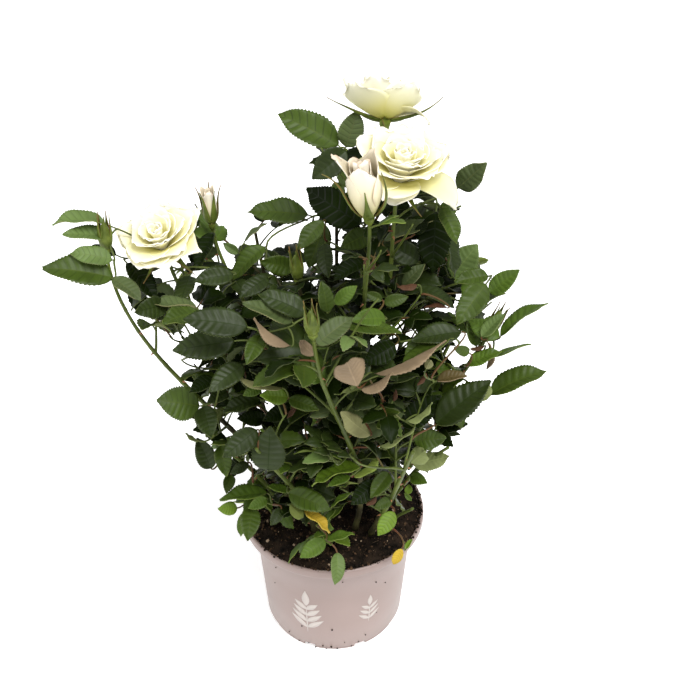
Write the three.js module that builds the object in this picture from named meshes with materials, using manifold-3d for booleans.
// Miniature rose bush in a nursery pot, millimetres, +Z up.
// The origin is the centre of the pot's flat underside, and the front of the plant faces -Y.
import * as THREE from 'three';
import { mergeVertices } from 'three/addons/utils/BufferGeometryUtils.js';
import Module from 'manifold-3d';

const wasm = await Module();
wasm.setup();

// Pot: a tapered plastic nursery pot with a wide lip and a stepped-in foot
const POT_HEIGHT = 91;
const RIM_RADIUS = 60;
const LIP_HEIGHT = 7;
const LIP_ROUND = 1.6;
const WALL_TOP_RADIUS = 52.6;
const WALL_FOOT_RADIUS = 46.8;
const FOOT_RADIUS = 44.8;
const FOOT_HEIGHT = 5;
const WALL = 1.4;
const FLOOR = 2;
const POT_SIDES = 32;
const NOTCHES = 8;
const NOTCH_WIDTH = 8;
const NOTCH_HEIGHT = 3;
const NOTCH_DEPTH = 3;

// Soil: the peat that fills the pot up to its lip
const SOIL_TOP = 92;
const SOIL_EDGE = 90.5;
const SOIL_FLAT_RADIUS = 54;
const SOIL_SIDES = 32;

// Stems
const GAP = 0.3;
const CANE_SIDES = 5;
const CANE_STEPS = 6;
const TWIG_SIDES = 4;
const TWIG_STEPS = 9;
const CANE_FOOT_RADIUS = 2;
const BOUGH_RADIUS = 1.6;
const SPROUT_RADIUS = 1.3;
const STEM_TIP_RADIUS = 1;
const FORK_SPREAD = 0.8;
const STEM_RISE = 0.4;
const STEM_SETTLE = 0.3;
const FOOT_SPLAY = 0.012;
const SPINE_POINTS = 48;

// Leaves: a stalk that carries pairs of leaflets and one at its end
const RACHIS_RADIUS = 0.8;
const RACHIS_WIDTH = 1.7;
const RACHIS_TIP_WIDTH = 1.3;
const RACHIS_HEIGHT = 1.3;
const BLADE_WIDEST = 0.42;
const BLADE_FOOT = 0.9;
const STALK_ROOT = 0.35;
const LEAFLET_LENGTH = 37;
const LEAFLET_WIDTH = 0.62;
const LEAFLET_THICKNESS = 0.9;
const LEAFLET_SINK = 1.2;
const PAIR_SIZE = [0.88, 0.72];
const PAIR_GAP = 14.5;
const PAIR_SPREAD = 62;
const PAIR_LIFT = 0.12;
const STALK_POINTS = 8;
const STALK_BASE = 11;
const LEAF_LEAN = 60;
const LEAF_TURN = 137.5;
const LOW_LEAF_SIZE = 0.98;
const TIP_LEAF_SHRINK = 0.22;
const STALK_BOW = 0.04;
const PAIR_TUCK = 0.2;

// How far the draws scatter a leaf, and how much wider each further try looks for room
const TRIES = 24;
const SIZE_SCATTER = 0.16;
const BOW_SCATTER = 0.12;
const ROLL_SCATTER = 46;
const TURN_SCATTER = 20;
const TURN_WIDER = 14;
const LEAN_SCATTER = 24;
const LEAN_WIDER = 3;
const SIZE_YIELD = 0.012;
const SLIDE = 0.008;
const LEAF_START = 0.04;
const SPROUT_LEAF_START = 0.35;

// Space that each leaf keeps round itself
const BLADE_CLEAR = 2.3;
const ROD_CLEAR = 1.3;
const SOIL_CLEAR = 3;
const STALK_NEAR = 0.45;

// Flowers
const FLOWER_STALK = 10;
const STALK_STEPS = 3;
const STALK_SIDES = 3;
const PETAL_COLUMNS = [-0.9, 0, 0.9];
const PETAL_LOBE = 0.2;
const PETAL_STEP = 0.8;
const SEPAL_HEIGHT = 4;
const SEPAL_THICKNESS = 0.8;
const SEPAL_WIDTH = 5;
const SEPAL_WIDEST = 0.35;
const SEPAL_ROOT = 0.6;
const SEPALS = 5;
const HEART_HEIGHT = 13;
const SLIM_BUD_ROOM = 20;
const SLIM_BUD_TOP = 22;
const GREEN_BUD = [[0, 0.9], [3, 2.6], [5.5, 2.1], [10, 4.2], [15, 3.4], [22, 0.8]];

// The vase-shaped space of the crown, as radius at height
const VASE = [[84, 74], [130, 74], [180, 88], [225, 112], [262, 134], [300, 118], [335, 86], [380, 60]];

// Shoots: foot on the soil, tip, lean of the tip from upright, share of the stem that is a bare cane,
// how many leaves the rule sets out above that, and the share of the stem where the last one stands
const SHOOTS = [
  { name: 'top_bloom', foot: [8, 10], tip: [30, 22, 351], lean: 8, bare: 0.3, leaves: 7, last: 0.84 },
  { name: 'middle_bloom', foot: [17, -4], tip: [36, -6, 329], lean: 4, bare: 0.3, leaves: 7, last: 0.84 },
  { name: 'left_bloom', foot: [-17, 4], tip: [-90, -17, 296], lean: 10, bare: 0.28, leaves: 7, last: 0.88 },
  { name: 'far_left', foot: [-24, -9], tip: [-112, -39, 276], lean: 16, bare: 0.5, leaves: 4, last: 0.88 },
  { name: 'front_bud', foot: [14, -22], tip: [-9, -92, 290], lean: 10, bare: 0.3, leaves: 7, last: 0.92 },
  { name: 'right_bud', foot: [25, -2], tip: [90, -14, 236], lean: 20, bare: 0.25, leaves: 7, last: 0.94 },
  { name: 'right_low', foot: [29, -15], tip: [68, -44, 178], lean: 40, bare: 0.22, leaves: 6, last: 0.94 },
  { name: 'back_right', foot: [20, 20], tip: [62, 46, 282], lean: 12, bare: 0.28, leaves: 7, last: 0.94 },
  { name: 'back', foot: [2, 27], tip: [4, 76, 280], lean: 15, bare: 0.26, leaves: 7, last: 0.95 },
  { name: 'back_left', foot: [-15, 22], tip: [-46, 52, 270], lean: 12, bare: 0.26, leaves: 7, last: 0.96 },
  { name: 'centre', foot: [-3, -3], tip: [-18, -12, 272], lean: 6, bare: 0.35, leaves: 6, last: 0.92 },
  { name: 'left_low', foot: [-29, -12], tip: [-68, -42, 180], lean: 40, bare: 0.22, leaves: 6, last: 0.94 },
  { name: 'front_left', foot: [-12, -24], tip: [-42, -78, 208], lean: 30, bare: 0.2, leaves: 7, last: 0.95 },
  { name: 'front_right', foot: [24, -27], tip: [44, -80, 206], lean: 25, bare: 0.2, leaves: 7, last: 0.95 },
  { name: 'left_back', foot: [-27, 15], tip: [-88, 42, 226], lean: 32, bare: 0.24, leaves: 7, last: 0.96 },
  { name: 'right_back', foot: [31, 13], tip: [90, 48, 222], lean: 32, bare: 0.24, leaves: 7, last: 0.96 },
  { name: 'back_low', foot: [-6, 36], tip: [-14, 92, 198], lean: 36, bare: 0.22, leaves: 7, last: 0.96 }
];

// Boughs leave a cane at a share of its length and carry a mass of their own
const BOUGHS = [
  {
    name: 'half_open_bud', from: 'middle_bloom', at: 0.22, tip: [20, -44, 329], lean: 4,
    bare: 0.35, leaves: 4, last: 0.8
  },
  {
    name: 'small_bud', from: 'left_bloom', at: 0.21, tip: [-67, 12, 295], lean: 6,
    bare: 0.35, leaves: 4, last: 0.82
  }
];

// Sprouts are short young shoots straight out of the soil, leafy from the foot
const SPROUTS = [
  { name: 'sprout_front', foot: [-4, -36], tip: [-10, -50, 122], lean: 30, leaves: 4, last: 0.95 },
  { name: 'sprout_right', foot: [38, -22], tip: [50, -32, 118], lean: 35, leaves: 3, last: 0.95 },
  { name: 'sprout_left', foot: [-38, -18], tip: [-50, -28, 126], lean: 35, leaves: 4, last: 0.95 },
  { name: 'sprout_back', foot: [8, 46], tip: [14, 56, 128], lean: 30, leaves: 4, last: 0.95 },
  { name: 'sprout_back_left', foot: [-34, 32], tip: [-44, 40, 126], lean: 30, leaves: 4, last: 0.95 }
];

// Set leaves make the crown's outline: shoot, share of its stem, tip of the end leaflet, pairs, size, roll
const SET_LEAVES = [
  { on: 'far_left', at: 0.93, tip: [-154, -30, 299], pairs: 2, size: 1.05, roll: 8 },
  { on: 'far_left', at: 0.985, tip: [-148, -8, 319], pairs: 1, size: 0.8, roll: -10 },
  { on: 'top_bloom', at: 0.88, tip: [-27, 20, 364], pairs: 1, size: 1, roll: -50 },
  { on: 'middle_bloom', at: 0.9, tip: [-14, 2, 322], pairs: 1, size: 1.05, roll: -35 },
  { on: 'back', at: 0.9, tip: [-49, 46, 296], pairs: 1, size: 1, roll: 0 },
  { on: 'back_right', at: 0.99, tip: [88, 34, 324], pairs: 1, size: 0.9, roll: -25 },
  { on: 'back_right', at: 0.9, tip: [96, 18, 280], pairs: 1, size: 0.9, roll: 20 },
  { on: 'right_bud', at: 0.8, tip: [107, 6, 268], pairs: 1, size: 0.9, roll: -20 },
  { on: 'right_bud', at: 0.7, tip: [124, 0, 250], pairs: 1, size: 0.95, roll: 10 },
  { on: 'right_bud', at: 0.55, tip: [122, -24, 224], pairs: 1, size: 1, roll: 10 },
  { on: 'right_low', at: 0.97, tip: [88, -60, 236], pairs: 1, size: 1.12, roll: 20 },
  { on: 'left_low', at: 0.98, tip: [-98, -48, 222], pairs: 1, size: 1, roll: -30 },
  { on: 'left_low', at: 0.6, tip: [-74, -66, 182], pairs: 1, size: 0.85, roll: -30 },
  { on: 'front_right', at: 0.97, tip: [55, -90, 280], pairs: 1, size: 1.05, roll: 30 },
  { on: 'front_right', at: 0.92, tip: [10, -98, 276], pairs: 1, size: 0.9, roll: -30 },
  { on: 'sprout_front', at: 0.8, tip: [4, -75, 92], pairs: 1, size: 0.75, roll: 0 },
  { on: 'sprout_left', at: 0.5, tip: [-76, -38, 118], pairs: 1, size: 0.7, roll: -20 },
  { on: 'sprout_right', at: 0.65, tip: [44, -62, 82], pairs: 0, size: 0.75, roll: -20 }
];

// Rings of an open flower: the hip, under and over the outer row, out and in of the inner row, the heart
const OUTER_FOOT = [6, 3];
const INNER_FOOT = [8, 5];
const OPEN_PROFILE = [
  [-1.5, 1],
  [1.5, 3.4],
  [5, 3.2],
  [9, 11, 0.2, OUTER_FOOT],
  [13, 21, 0.7, OUTER_FOOT],
  [16, 29.5, 1, OUTER_FOOT],
  [17, 29, 1, OUTER_FOOT],
  [15.5, 19, 0.7, OUTER_FOOT],
  [17, 15.5, 0.5, INNER_FOOT],
  [23, 18.5, 1, INNER_FOOT],
  [23.6, 17, 1, INNER_FOOT],
  [18, 10, 0.5, INNER_FOOT],
  [20, 8.5, 0.4, INNER_FOOT],
  [24, 6.5, 0.8, INNER_FOOT],
  [23, 2.5, 0]
];
const HALF_OPEN_PROFILE = [
  [-1.5, 1],
  [1.5, 3.4],
  [5, 3],
  [9, 7, 0.1, OUTER_FOOT],
  [17, 9.6, 0.5, OUTER_FOOT],
  [24, 9.4, 0.9, OUTER_FOOT],
  [30, 12.5, 1, OUTER_FOOT],
  [30.6, 11.5, 1, OUTER_FOOT],
  [25, 7, 0.6, OUTER_FOOT],
  [29, 4, 0.5, OUTER_FOOT]
];
const SMALL_BUD_PROFILE = [
  [-1.5, 1],
  [1.5, 2.8],
  [4, 2.4],
  [8, 5, 0.1, OUTER_FOOT],
  [14, 5.4, 0.4, OUTER_FOOT],
  [21, 3, 0.6, OUTER_FOOT],
  [23, 1]
];

// Flowers: the stem whose tip carries them, axis, petals in a row, the radius that leaves keep clear of them,
// and the length and lean of the sepals
const BLOOMS = [
  {
    name: 'bloom_top', on: 'top_bloom', axis: [0.05, 0.62, 0.78], size: 0.95, profile: OPEN_PROFILE,
    petals: 5, seed: 3, room: 28, sepals: [20, 105]
  },
  {
    name: 'bloom_middle', on: 'middle_bloom', axis: [0.12, -0.18, 0.97], size: 1.03, profile: OPEN_PROFILE,
    petals: 5, seed: 5, room: 30, sepals: [20, 110]
  },
  {
    name: 'bloom_left', on: 'left_bloom', axis: [-0.16, -0.3, 0.94], size: 0.86, profile: OPEN_PROFILE,
    petals: 5, seed: 8, room: 26, sepals: [20, 105]
  },
  {
    name: 'bud_half_open', on: 'half_open_bud', axis: [-0.14, -0.1, 0.98], size: 1,
    profile: HALF_OPEN_PROFILE, petals: 4, seed: 4, room: 14, sepals: [22, 20]
  },
  {
    name: 'bud_small', on: 'small_bud', axis: [-0.04, 0.04, 1], size: 0.9, profile: SMALL_BUD_PROFILE,
    petals: 3, seed: 2, room: 9, sepals: [20, 10]
  }
];

// Green buds are fused to the tips of these shoots
const GREEN_BUDS = ['front_bud', 'right_bud', 'far_left', 'centre'];

// Vectors as arrays of three numbers
const add = (a, b) => [a[0] + b[0], a[1] + b[1], a[2] + b[2]];
const sub = (a, b) => [a[0] - b[0], a[1] - b[1], a[2] - b[2]];
const mul = (a, k) => [a[0] * k, a[1] * k, a[2] * k];
const dot = (a, b) => a[0] * b[0] + a[1] * b[1] + a[2] * b[2];
const cross = (a, b) => [a[1] * b[2] - a[2] * b[1], a[2] * b[0] - a[0] * b[2], a[0] * b[1] - a[1] * b[0]];
const length = (a) => Math.sqrt(dot(a, a));
const unit = (a) => mul(a, 1 / length(a));
const mix = (a, b, t) => add(mul(a, 1 - t), mul(b, t));
const radians = (degrees) => degrees * Math.PI / 180;
const UP = [0, 0, 1];

// The part of a that stands square to the unit direction d
const square = (a, d) => unit(sub(a, mul(d, dot(a, d))));

// a turned about the unit axis d
function turned(a, d, degrees) {
  const c = Math.cos(radians(degrees));
  const s = Math.sin(radians(degrees));
  return add(add(mul(a, c), mul(cross(d, a), s)), mul(d, dot(d, a) * (1 - c)));
}

// Repeatable draws between 0 and 1
function dice(seed) {
  let state = (seed * 7919 + 104729) % 2147483647;
  return () => {
    state = (state * 48271) % 2147483647;
    return state / 2147483647;
  };
}

// A value that runs through [[x, y], ...]
function along(table, x) {
  if (x <= table[0][0]) return table[0][1];
  for (let i = 1; i < table.length; i += 1) {
    const [x0, y0] = table[i - 1];
    const [x1, y1] = table[i];
    if (x <= x1) return y0 + (y1 - y0) * (x - x0) / (x1 - x0);
  }
  return table[table.length - 1][1];
}

// Stem centre line: out of the soil nearly upright, then over to the tip's own lean
function spine(foot, tip, lean, start) {
  const reach = length(sub(tip, foot));
  const flat = [tip[0] - foot[0], tip[1] - foot[1], 0];
  const out = length(flat) > 1e-6 ? unit(flat) : [1, 0, 0];
  const tipDirection = add(mul(out, Math.sin(radians(lean))), mul(UP, Math.cos(radians(lean))));
  const a = add(foot, mul(start, reach * STEM_RISE));
  const b = sub(tip, mul(tipDirection, reach * STEM_SETTLE));
  const points = [];
  for (let i = 0; i <= SPINE_POINTS; i += 1) {
    const t = i / SPINE_POINTS;
    const ab = mix(a, b, t);
    points.push(mix(mix(mix(foot, a, t), ab, t), mix(ab, mix(b, tip, t), t), t));
  }
  return points;
}

function pointAt(points, t) {
  const x = Math.min(Math.max(t, 0), 1) * (points.length - 1);
  const i = Math.min(Math.floor(x), points.length - 2);
  return mix(points[i], points[i + 1], x - i);
}

function directionAt(points, t) {
  const x = Math.min(Math.max(t, 0), 1) * (points.length - 1);
  const i = Math.min(Math.floor(x), points.length - 2);
  return unit(sub(points[i + 1], points[i]));
}

// Everything that has been placed, for the clearance tests
const blades = [];
const rods = [];
const globes = [];

function addRod(points, radius0, radius1, owner) {
  const last = points.length - 1;
  points.forEach((p, i) => rods.push({ p, r: radius0 + (radius1 - radius0) * i / last, owner }));
}

// Points spread over a leaflet
const ACROSS = [-1, -0.5, 0, 0.5, 1];
const ALONG_STEPS = 8;

function halfWidthAt(t) {
  return Math.sin(Math.PI * Math.pow(t, 0.8)) * 0.5;
}

function bladeSamples(blade) {
  const samples = [];
  for (let i = 1; i <= ALONG_STEPS; i += 1) {
    const t = i / ALONG_STEPS;
    const half = halfWidthAt(t) * blade.width;
    for (const s of ACROSS) {
      samples.push(add(add(blade.root, mul(blade.dir, t * blade.length)), mul(blade.side, s * half)));
    }
  }
  return samples;
}

// Whether a point lies in the thin slab that a leaflet keeps to itself
function inSlab(p, blade, clear) {
  const q = sub(p, blade.root);
  if (Math.abs(dot(q, blade.normal)) > clear) return false;
  const u = (dot(q, blade.dir) - blade.length * 0.5) / (blade.length * 0.5 + clear);
  const v = dot(q, blade.side) / (blade.width * 0.5 + clear);
  return u * u + v * v < 1;
}

function inSpace(p) {
  const r = Math.hypot(p[0], p[1]);
  if (r < RIM_RADIUS + SOIL_CLEAR && p[2] < SOIL_TOP + SOIL_CLEAR) return false;
  return globes.every((g) => length(sub(p, g.p)) > g.r);
}

function bladeFits(blade, owner) {
  for (const p of blade.samples) {
    if (!inSpace(p)) return false;
    for (const other of blades) {
      if (inSlab(p, other, BLADE_CLEAR)) return false;
    }
  }
  for (const other of blades) {
    if (length(sub(other.root, blade.root)) > other.length + blade.length + BLADE_CLEAR) continue;
    for (const p of other.samples) {
      if (inSlab(p, blade, BLADE_CLEAR)) return false;
    }
  }
  for (const rod of rods) {
    if (rod.owner !== owner && inSlab(rod.p, blade, rod.r + ROD_CLEAR)) return false;
  }
  return true;
}

function rodFits(points, radius, owner, parent) {
  for (let i = 1; i < points.length; i += 1) {
    const p = points[i];
    if (!inSpace(p)) return false;
    for (const blade of blades) {
      if (inSlab(p, blade, radius + ROD_CLEAR)) return false;
    }
    for (const rod of rods) {
      if (rod.owner === parent && i < points.length * STALK_NEAR) continue;
      if (length(sub(p, rod.p)) < radius + rod.r + ROD_CLEAR) return false;
    }
  }
  return true;
}

// A leaflet: root, direction, the side and the normal of its blade
function leaflet(root, dir, normal, size) {
  const n = square(normal, dir);
  const blade = { root, dir, normal: n, side: cross(dir, n), length: LEAFLET_LENGTH * size };
  blade.width = blade.length * LEAFLET_WIDTH;
  blade.samples = bladeSamples(blade);
  return blade;
}

// A compound leaf from its base on the stem: the stalk bows, leaflets sit in pairs, one is at the end
function compoundLeaf(base, dir, stalk, bow, roll, pairs, size) {
  const points = [];
  for (let i = 0; i <= STALK_POINTS; i += 1) {
    const s = i / STALK_POINTS;
    points.push(add(add(base, mul(dir, stalk * s)), mul(UP, bow * stalk * 4 * s * (1 - s))));
  }
  const tip = points[STALK_POINTS];
  const end = unit(sub(tip, points[STALK_POINTS - 1]));
  const face = turned(square(UP, end), end, roll);
  const leaflets = [leaflet(sub(tip, mul(end, LEAFLET_SINK)), end, face, size)];
  for (let k = 0; k < pairs; k += 1) {
    const t = 1 - PAIR_GAP * size * (k + 0.5) / stalk;
    const at = pointAt(points, t);
    const d = directionAt(points, t);
    const n = turned(square(UP, d), d, roll);
    for (const hand of [-1, 1]) {
      const out = turned(d, n, hand * PAIR_SPREAD);
      const blade = leaflet(at, unit(add(out, mul(n, PAIR_LIFT))), n, size * PAIR_SIZE[k]);
      leaflets.push({ ...blade, hand, at: t });
    }
  }
  return { points, leaflets, stalk };
}

function keepLeaf(mass, leaf, fits) {
  const owner = `leaf_${mass.name}_${mass.leaves.length}`;
  const kept = leaf.leaflets.filter((_, i) => fits[i]);
  kept.forEach((blade) => blades.push(blade));
  addRod(leaf.points, RACHIS_RADIUS, RACHIS_RADIUS, owner);
  mass.leaves.push({ ...leaf, leaflets: kept });
}

// Leaflets that fit; a leaf whose stalk or end leaflet has no room has none
function tryLeaf(mass, leaf) {
  if (!rodFits(leaf.points, RACHIS_RADIUS, null, mass.name)) return leaf.leaflets.map(() => false);
  const fits = leaf.leaflets.map((blade) => bladeFits(blade, null));
  return fits[0] ? fits : fits.map(() => false);
}

function inVase(leaf) {
  return leaf.leaflets.every((blade) => {
    const tip = add(blade.root, mul(blade.dir, blade.length));
    return Math.hypot(tip[0], tip[1]) < along(VASE, tip[2]) && tip[2] > POT_HEIGHT;
  });
}

function growLeaves(mass, index) {
  const { shoot, points } = mass;
  for (let i = 0; i < shoot.leaves; i += 1) {
    const roll = dice(index * 101 + i * 7 + 13);
    const share = shoot.leaves > 1 ? i / (shoot.leaves - 1) : 0.5;
    const t0 = mass.first + (shoot.last - mass.first) * share;
    const turn0 = index * 71 + i * LEAF_TURN;
    const size0 = LOW_LEAF_SIZE - TIP_LEAF_SHRINK * share + SIZE_SCATTER * (roll() - 0.5);
    let best = null;
    for (let k = 0; k < TRIES; k += 1) {
      const t = Math.max(t0 + SLIDE * (roll() - 0.5) * k, mass.first);
      const turn = turn0 + (roll() - 0.5) * (TURN_SCATTER + TURN_WIDER * k);
      const lean = LEAF_LEAN + (roll() - 0.5) * (LEAN_SCATTER + LEAN_WIDER * k);
      const size = size0 * (1 - SIZE_YIELD * k);
      const pairs = roll() < 0.5 ? 2 : 1;
      const bow = STALK_BOW + BOW_SCATTER * roll();
      const tip = (roll() - 0.5) * ROLL_SCATTER;
      const base = pointAt(points, t);
      const dir = directionAt(points, t);
      const radial = turned(square([1, 0, 0], dir), dir, turn);
      const d = add(mul(dir, Math.cos(radians(lean))), mul(radial, Math.sin(radians(lean))));
      const stalk = (STALK_BASE + PAIR_GAP * (pairs - PAIR_TUCK)) * size;
      const leaf = compoundLeaf(base, d, stalk, bow, tip, pairs, size);
      if (!inVase(leaf)) continue;
      const fits = tryLeaf(mass, leaf);
      const count = fits.filter(Boolean).length;
      if (!best || count > best.count) best = { leaf, fits, count };
      if (count === leaf.leaflets.length) break;
    }
    if (best && best.count >= 2) keepLeaf(mass, best.leaf, best.fits);
  }
}

function setLeaf(mass, leafPlan) {
  const base = pointAt(mass.points, leafPlan.at);
  const blade = LEAFLET_LENGTH * leafPlan.size - LEAFLET_SINK;
  const d = unit(sub(leafPlan.tip, base));
  const stalk = length(sub(leafPlan.tip, base)) - blade;
  const leaf = compoundLeaf(base, d, stalk, 0, leafPlan.roll, leafPlan.pairs, leafPlan.size);
  const fits = tryLeaf(mass, leaf);
  if (fits[0]) keepLeaf(mass, leaf, fits);
}

// Plan the whole plant before any of it is meshed
const footPoint = (foot) => [foot[0], foot[1], SOIL_TOP + GAP];
const FOOT_RADIUS_OF = { cane: CANE_FOOT_RADIUS, bough: BOUGH_RADIUS, sprout: SPROUT_RADIUS };
const stemRadius = (kind, t) => FOOT_RADIUS_OF[kind] + (STEM_TIP_RADIUS - FOOT_RADIUS_OF[kind]) * t;
const masses = [];

// A stem on its centre line, whose foot is cut to a plane square to cut and stands clear of the line's start
function plant(shoot, kind, points, cut, clear) {
  const reach = points.reduce((sum, p, i) => sum + (i > 0 ? length(sub(p, points[i - 1])) : 0), 0);
  const bare = kind === 'sprout' ? 0 : shoot.bare;
  const first = kind === 'sprout' ? SPROUT_LEAF_START : bare + LEAF_START;
  const start = clear / reach;
  const mass = { name: shoot.name, shoot, kind, points, cut, reach, bare, first, start, leaves: [] };
  addRod(points, FOOT_RADIUS_OF[kind], STEM_TIP_RADIUS, mass.name);
  masses.push(mass);
}

for (const shoot of SHOOTS) {
  const start = unit([shoot.foot[0] * FOOT_SPLAY, shoot.foot[1] * FOOT_SPLAY, 1]);
  plant(shoot, 'cane', spine(footPoint(shoot.foot), shoot.tip, shoot.lean, start), UP, 0);
}
for (const shoot of BOUGHS) {
  const parent = masses.find((m) => m.name === shoot.from);
  const foot = pointAt(parent.points, shoot.at);
  const d = directionAt(parent.points, shoot.at);
  const away = square(sub(shoot.tip, foot), d);
  const start = unit(add(d, mul(away, FORK_SPREAD)));
  const points = spine(foot, shoot.tip, shoot.lean, start);
  plant(shoot, 'bough', points, away, (stemRadius('cane', shoot.at) + GAP) / dot(start, away));
}
for (const shoot of SPROUTS) {
  plant(shoot, 'sprout', spine(footPoint(shoot.foot), shoot.tip, shoot.lean, UP), UP, 0);
}
for (const bloom of BLOOMS) {
  const mass = masses.find((m) => m.name === bloom.on);
  const axis = unit(bloom.axis);
  const tip = mass.points[mass.points.length - 1];
  globes.push({ p: add(tip, mul(axis, HEART_HEIGHT)), r: bloom.room });
  if (bloom.room < SLIM_BUD_ROOM) globes.push({ p: add(tip, mul(axis, SLIM_BUD_TOP)), r: bloom.room });
}
for (const plan of SET_LEAVES) setLeaf(masses.find((m) => m.name === plan.on), plan);
masses.forEach(growLeaves);

// A closed solid from corners and faces, turned right side out
function solidOf(positions, faces) {
  const volume = faces.reduce((sum, f) => (
    sum + dot(positions[f[0]], cross(positions[f[1]], positions[f[2]]))
  ), 0);
  const outward = volume > 0 ? faces : faces.map(([a, b, c]) => [a, c, b]);
  const vertProperties = new Float32Array(positions.flat());
  const triVerts = new Uint32Array(outward.flat());
  return new wasm.Manifold(new wasm.Mesh({ numProp: 3, vertProperties, triVerts }));
}

// A three.js geometry as a solid, with its shared corners merged
function solidFrom(geometry) {
  geometry.deleteAttribute('normal');
  geometry.deleteAttribute('uv');
  const merged = mergeVertices(geometry, 1e-4);
  const vertProperties = new Float32Array(merged.attributes.position.array);
  const triVerts = new Uint32Array(merged.index.array);
  return new wasm.Manifold(new wasm.Mesh({ numProp: 3, vertProperties, triVerts }));
}

// One body from many: a sealed hollow is filled and a loose scrap is dropped
function fused(solids) {
  const bodies = wasm.Manifold.union(solids).decompose();
  return bodies.reduce((a, b) => (b.volume() > a.volume() ? b : a));
}

// A skin over rings of equal numbers of points; a ring of one point closes an end to a tip
function skin(rings) {
  const faces = [];
  const starts = [];
  rings.reduce((n, ring) => starts.push(n) && n + ring.length, 0);
  for (let i = 0; i < rings.length - 1; i += 1) {
    const sides = Math.max(rings[i].length, rings[i + 1].length);
    for (let k = 0; k < sides; k += 1) {
      const j = (k + 1) % sides;
      const corners = (r) => (rings[r].length > 1 ? [starts[r] + k, starts[r] + j] : [starts[r], starts[r]]);
      const low = corners(i);
      const high = corners(i + 1);
      if (low[0] !== low[1]) faces.push([low[0], low[1], high[1]]);
      if (high[0] !== high[1]) faces.push([low[0], high[1], high[0]]);
    }
  }
  const top = starts[rings.length - 1];
  for (let k = 1; k < rings[0].length - 1; k += 1) faces.push([0, k + 1, k]);
  for (let k = 1; k < rings[rings.length - 1].length - 1; k += 1) faces.push([top, top + k, top + k + 1]);
  return solidOf(rings.flat(), faces);
}

// A round stem along a centre line; its foot is cut square, or flat to a given plane through its first point
function sweep(points, radiusAt, sides, plane) {
  const last = points.length - 1;
  const start = unit(sub(points[1], points[0]));
  let side = square([0.3, 1, 0.2], start);
  const rings = points.map((p, i) => {
    const d = unit(sub(points[Math.min(i + 1, last)], points[Math.max(i - 1, 0)]));
    side = square(side, d);
    return ringRound(p, side, cross(d, side), radiusAt(i / last), sides);
  });
  if (plane) {
    rings[0] = rings[0].map((p) => sub(p, mul(start, dot(sub(p, points[0]), plane) / dot(start, plane))));
  }
  return skin(rings);
}

function ringRound(centre, side, other, radius, sides) {
  const ring = [];
  for (let k = 0; k < sides; k += 1) {
    const a = 2 * Math.PI * k / sides;
    ring.push(add(centre, add(mul(side, radius * Math.cos(a)), mul(other, radius * Math.sin(a)))));
  }
  return ring;
}

// A turned body on an axis, from heights and radii
function spindle(base, axis, profile, sides) {
  const side = square([1, 0.2, 0], axis);
  const other = cross(axis, side);
  return skin(profile.map(([h, r]) => ringRound(add(base, mul(axis, h)), side, other, r, sides)));
}

// A section of a stalk or blade: one edge, the ridge on top, the other edge
function leafRing(centre, side, normal, wide, thick) {
  const edge = mul(side, wide / 2);
  return [add(centre, edge), add(centre, mul(normal, thick)), sub(centre, edge)];
}

// The widest section of a leaflet that grows from the side of a stalk, in the order of the face it replaces
function sideBladeRing(blade, hand) {
  const centre = add(blade.root, mul(blade.dir, BLADE_WIDEST * blade.length));
  const top = add(centre, mul(blade.normal, LEAFLET_THICKNESS / 2));
  const bottom = add(centre, mul(blade.normal, -LEAFLET_THICKNESS / 2));
  const rear = add(centre, mul(blade.side, -hand * blade.width / 2));
  const front = add(centre, mul(blade.side, hand * blade.width / 2));
  return hand < 0 ? [bottom, rear, top, front] : [top, rear, bottom, front];
}

// A compound leaf as one closed skin: the stalk runs out into its end leaflet,
// and each side leaflet is drawn out of the face of the stalk that it stands on
function leafSolid(leaf) {
  const { points, leaflets, stalk } = leaf;
  const end = leaflets[0];
  const pairs = leaflets.slice(1);
  const stations = [0];
  const shares = [...new Set(pairs.map((blade) => blade.at))].sort((x, y) => x - y);
  for (const share of shares) stations.push(share - BLADE_FOOT / stalk, share + BLADE_FOOT / stalk);
  const rings = stations.map((t) => {
    const dir = directionAt(points, t);
    const normal = square(end.normal, dir);
    const full = t > 0 ? 1 : STALK_ROOT;
    const side = cross(dir, normal);
    return leafRing(pointAt(points, t), side, normal, full * RACHIS_WIDTH, full * RACHIS_HEIGHT);
  });
  rings.push(leafRing(end.root, end.side, end.normal, RACHIS_TIP_WIDTH, RACHIS_HEIGHT));
  const tip = add(end.root, mul(end.dir, end.length));
  const widest = add(end.root, mul(end.dir, BLADE_WIDEST * end.length));
  rings.push(leafRing(widest, end.side, end.normal, end.width, LEAFLET_THICKNESS));
  const positions = [...rings.flat(), tip];
  const faces = [[0, 2, 1]];
  for (let i = 0; i < rings.length - 1; i += 1) {
    for (let k = 0; k < 3; k += 1) {
      const j = (k + 1) % 3;
      const loop = [3 * i + k, 3 * i + j, 3 * i + 3 + j, 3 * i + 3 + k];
      const share = i % 2 === 1 && k < 2 ? shares[(i - 1) / 2] : undefined;
      const blade = pairs.find((b) => b.at === share && b.hand === (k === 0 ? -1 : 1));
      if (blade) {
        const first = positions.length;
        positions.push(...sideBladeRing(blade, blade.hand), add(blade.root, mul(blade.dir, blade.length)));
        for (let e = 0; e < 4; e += 1) {
          const f = (e + 1) % 4;
          faces.push([loop[e], loop[f], first + f], [loop[e], first + f, first + e]);
          faces.push([first + e, first + f, first + 4]);
        }
      } else {
        faces.push([loop[0], loop[1], loop[2]], [loop[0], loop[2], loop[3]]);
      }
    }
  }
  const last = 3 * (rings.length - 1);
  for (let k = 0; k < 3; k += 1) faces.push([last + k, last + (k + 1) % 3, last + 3]);
  return solidOf(positions, faces);
}

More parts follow.
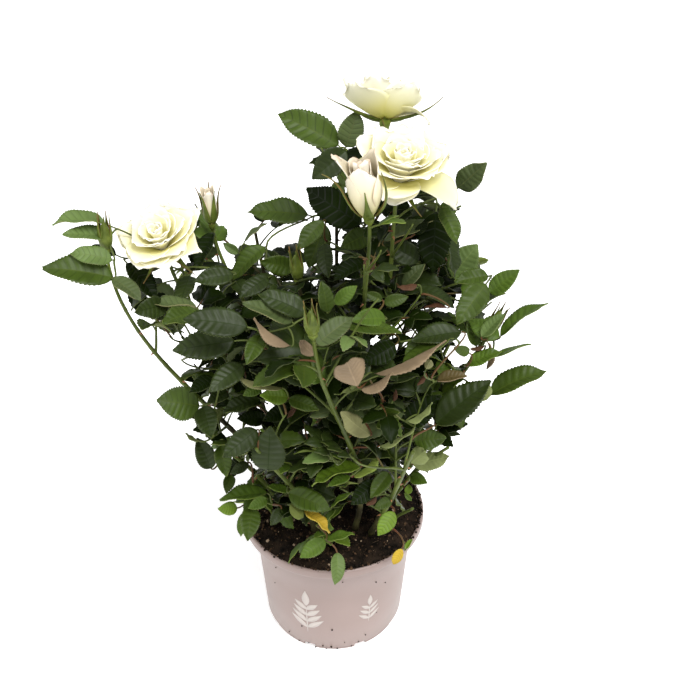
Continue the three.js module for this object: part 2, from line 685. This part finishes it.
// A thin pointed blade of its own, for sepals
function sepalSolid(root, dir, side, normal, long) {
  const widest = add(root, mul(dir, SEPAL_WIDEST * long));
  return skin([
    leafRing(root, side, normal, SEPAL_WIDTH / 2, SEPAL_THICKNESS),
    leafRing(widest, side, normal, SEPAL_WIDTH, SEPAL_THICKNESS),
    [add(root, mul(dir, long))]
  ]);
}

// The centre line of a stem between two shares of its length
function stretch(points, from, to, steps) {
  const out = [];
  for (let i = 0; i <= steps; i += 1) out.push(pointAt(points, from + (to - from) * i / steps));
  return out;
}

// A flower as one closed skin of rings. Each ring is a height, a radius and, on a row of petals, the place of
// the row's foot and how far along the row the ring is: there the gaps between petals draw in and the
// edges step over each other
function flowerSkin(base, axis, flower) {
  const roll = dice(flower.seed);
  const e1 = square([1, 0, 0], axis);
  const long = Array.from({ length: flower.petals }, () => 1 + 0.1 * (roll() - 0.5));
  const rings = flower.profile.map(([h, r, share = 0, foot = [0, 0], turn = 0]) => {
    const ring = [];
    for (let k = 0; k < flower.petals; k += 1) {
      for (const s of PETAL_COLUMNS) {
        const radial = turned(e1, axis, turn + 360 * (k + s / 2) / flower.petals);
        const keep = 1 - share * PETAL_LOBE * s * s + share * (long[k] - 1);
        const out = foot[1] + (r - foot[1]) * keep;
        const up = foot[0] + (h - foot[0]) * keep + share * PETAL_STEP * s;
        ring.push(add(base, add(mul(radial, out * flower.size), mul(axis, up * flower.size))));
      }
    }
    return ring;
  });
  return skin(rings);
}

// Sepals round the foot of a flower or bud
function sepalSolids(base, axis, long, lean) {
  const solids = [];
  for (let k = 0; k < SEPALS; k += 1) {
    const radial = turned(square([0.3, 1, 0], axis), axis, 360 * k / SEPALS);
    const dir = add(mul(axis, Math.cos(radians(lean))), mul(radial, Math.sin(radians(lean))));
    const side = cross(axis, radial);
    const normal = cross(side, dir);
    solids.push(sepalSolid(add(base, mul(radial, SEPAL_ROOT)), dir, side, normal, long));
  }
  return solids;
}

const group = new THREE.Group();

function addMesh(name, solid, look) {
  const { vertProperties, triVerts } = solid.getMesh();
  const geometry = new THREE.BufferGeometry();
  geometry.setAttribute('position', new THREE.BufferAttribute(vertProperties, 3));
  geometry.setIndex(new THREE.BufferAttribute(triVerts, 1));
  const mesh = new THREE.Mesh(geometry, new THREE.MeshStandardMaterial(look));
  mesh.name = name;
  group.add(mesh);
}

// Pot
function lathe(profile, sides) {
  const outline = profile.map(([r, z]) => new THREE.Vector2(r, z));
  return solidFrom(new THREE.LatheGeometry(outline, sides).rotateX(Math.PI / 2));
}

function potSolid() {
  const lipFoot = POT_HEIGHT - LIP_HEIGHT;
  const shell = lathe([
    [0, 0],
    [FOOT_RADIUS, 0],
    [FOOT_RADIUS, FOOT_HEIGHT],
    [WALL_FOOT_RADIUS, FOOT_HEIGHT],
    [WALL_TOP_RADIUS, lipFoot],
    [RIM_RADIUS, lipFoot],
    [RIM_RADIUS, POT_HEIGHT - LIP_ROUND],
    [RIM_RADIUS - LIP_ROUND / 2, POT_HEIGHT],
    [RIM_RADIUS - LIP_ROUND / 2 - WALL, POT_HEIGHT],
    [RIM_RADIUS - LIP_ROUND / 2 - WALL, lipFoot + WALL],
    [WALL_TOP_RADIUS - WALL, lipFoot + WALL],
    [FOOT_RADIUS - WALL, FOOT_HEIGHT],
    [FOOT_RADIUS - WALL, FLOOR],
    [0, FLOOR]
  ], POT_SIDES);
  const cuts = [];
  for (let i = 0; i < NOTCHES; i += 1) {
    const box = new THREE.BoxGeometry(NOTCH_DEPTH * 2, NOTCH_WIDTH, NOTCH_HEIGHT * 2);
    box.translate(FOOT_RADIUS, 0, 0).rotateZ(2 * Math.PI * (i + 0.5) / NOTCHES);
    cuts.push(solidFrom(box));
  }
  return shell.subtract(wasm.Manifold.union(cuts));
}

function soilSolid() {
  const lipFoot = POT_HEIGHT - LIP_HEIGHT;
  const edge = RIM_RADIUS - LIP_ROUND / 2 - WALL - GAP;
  return lathe([
    [0, FLOOR + GAP],
    [FOOT_RADIUS - WALL - GAP - NOTCH_DEPTH, FLOOR + GAP],
    [FOOT_RADIUS - WALL - GAP, FOOT_HEIGHT],
    [WALL_TOP_RADIUS - WALL - GAP, lipFoot + WALL - 1],
    [WALL_TOP_RADIUS - WALL - GAP, lipFoot + WALL + GAP],
    [edge, lipFoot + WALL + GAP],
    [edge, SOIL_EDGE],
    [SOIL_FLAT_RADIUS, SOIL_TOP],
    [0, SOIL_TOP]
  ], SOIL_SIDES);
}

addMesh('pot', potSolid(), { color: 0xbfa9a0, roughness: 0.45, metalness: 0 });
addMesh('soil', soilSolid(), { color: 0x1f140d, roughness: 0.95, metalness: 0 });

const STEM_LOOK = { color: 0x5d7a2a, roughness: 0.6, metalness: 0 };
const LEAF_LOOK = { color: 0x3f5a2c, roughness: 0.55, metalness: 0 };
const PETAL_LOOK = { color: 0xf6efd0, roughness: 0.5, metalness: 0 };

// Canes, boughs and masses of foliage
for (const mass of masses) {
  const stem = (from, to, steps, sides, plane) => sweep(
    stretch(mass.points, from, to, steps),
    (s) => stemRadius(mass.kind, from + (to - from) * s),
    sides,
    plane
  );
  const { bare } = mass;
  if (bare > 0) {
    addMesh(`${mass.kind}_${mass.name}`, stem(mass.start, bare, CANE_STEPS, CANE_SIDES, mass.cut), STEM_LOOK);
  }
  const from = bare > 0 ? bare + GAP / mass.reach : 0;
  const flower = BLOOMS.find((b) => b.on === mass.name);
  const to = flower ? 1 - FLOWER_STALK / mass.reach : 1;
  const pieces = [stem(from, to, TWIG_STEPS, TWIG_SIDES, bare > 0 ? null : UP)];
  for (const leaf of mass.leaves) {
    pieces.push(leafSolid(leaf));
  }
  if (GREEN_BUDS.includes(mass.name)) {
    const base = mass.points[SPINE_POINTS];
    const axis = directionAt(mass.points, 1);
    pieces.push(spindle(sub(base, mul(axis, 1)), axis, GREEN_BUD, 6));
  }
  addMesh(`foliage_${mass.name}`, fused(pieces), LEAF_LOOK);
}

// Flowers: the stalk, the hip with its sepals, and the petals
for (const flower of BLOOMS) {
  const mass = masses.find((m) => m.name === flower.on);
  const axis = unit(flower.axis);
  const tip = mass.points[SPINE_POINTS];
  const from = 1 - (FLOWER_STALK - GAP) / mass.reach;
  const [sepalLength, sepalLean] = flower.sepals;
  const pieces = [
    sweep(stretch(mass.points, from, 1, STALK_STEPS), () => STEM_TIP_RADIUS, STALK_SIDES),
    flowerSkin(tip, axis, flower),
    ...sepalSolids(add(tip, mul(axis, SEPAL_HEIGHT)), axis, sepalLength, sepalLean)
  ];
  addMesh(flower.name, fused(pieces), PETAL_LOOK);
}

export default group;
